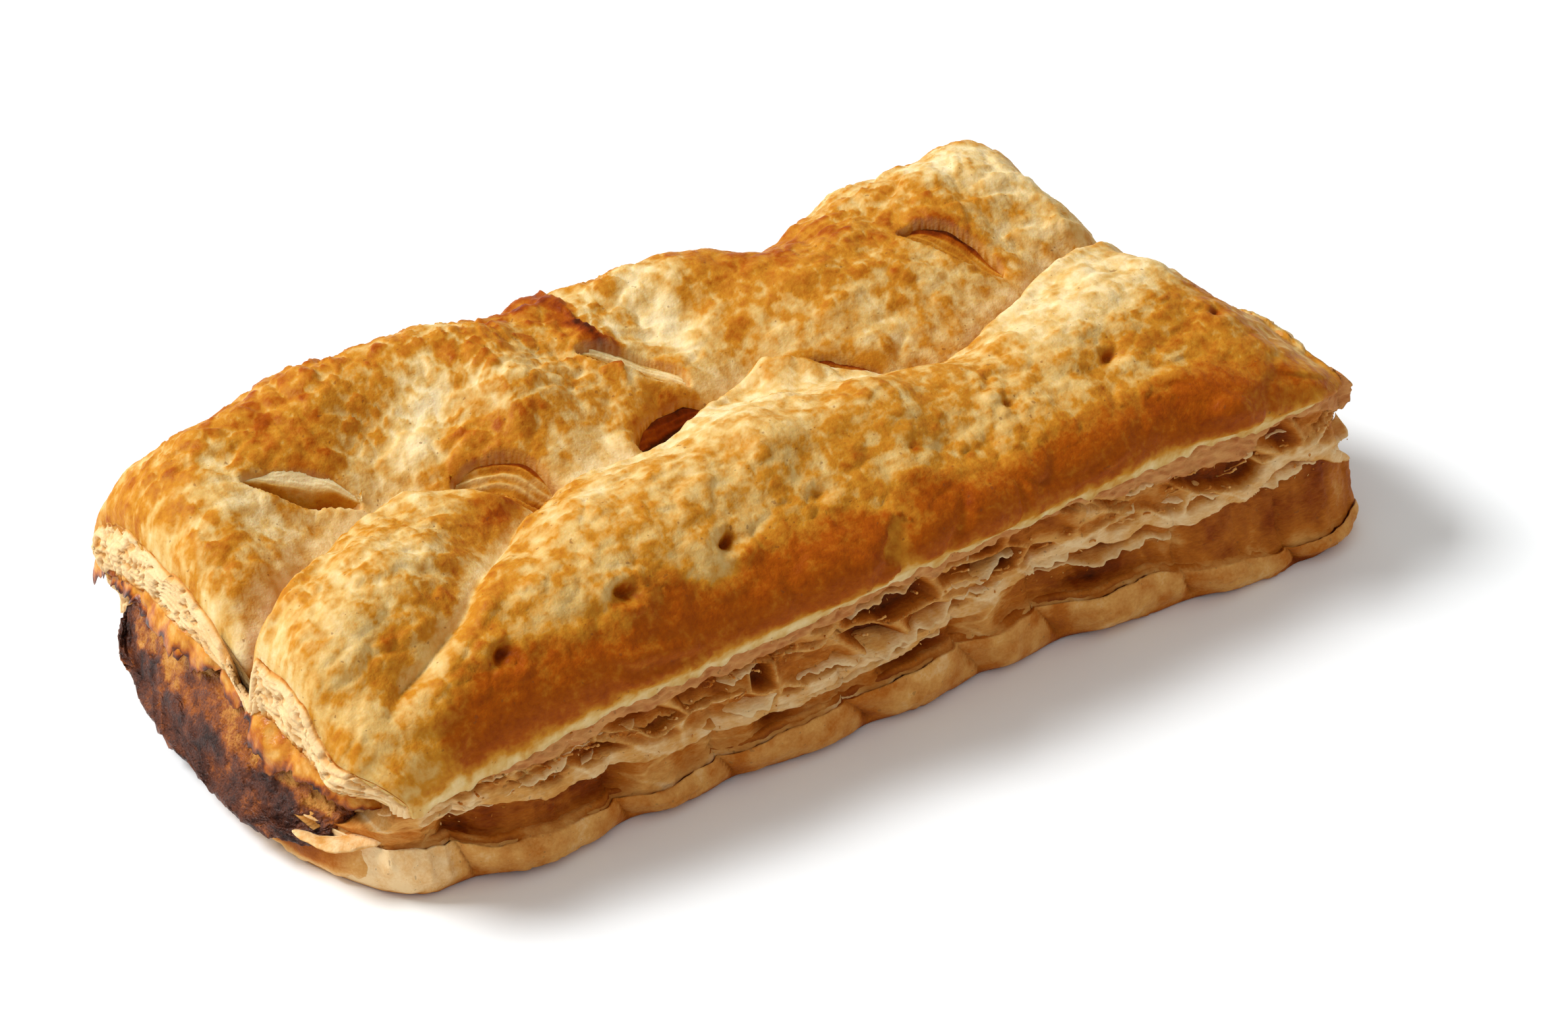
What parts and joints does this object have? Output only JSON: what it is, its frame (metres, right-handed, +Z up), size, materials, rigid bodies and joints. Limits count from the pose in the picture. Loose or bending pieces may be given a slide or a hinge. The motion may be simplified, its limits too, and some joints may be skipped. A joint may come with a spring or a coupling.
{
  "type": "sausage roll",
  "caption": "Baked sausage roll: golden puff pastry folded round a long meat filling that swells out of one cut end, with slits in the top and open flaky layers along one side.",
  "frame": {"origin": "on the flat base the roll lies on, near the middle of its length and width", "axes": "+X along the roll, away from the end where the filling swells out; +Y towards the folded side, away from the open seam; +Z up"},
  "size_m": [0.1604, 0.0762, 0.0397],
  "materials": {
    "pastry": "golden baked puff pastry, egg-washed on top, pale and flaky at the seam and the cut ends",
    "sausage_meat": "roasted sausage meat, glistening and dark brown at its edge"
  },
  "bodies": {
    "root": {"pastry": "pastry", "sausage_meat": "sausage_meat"}
  },
  "joints": []
}
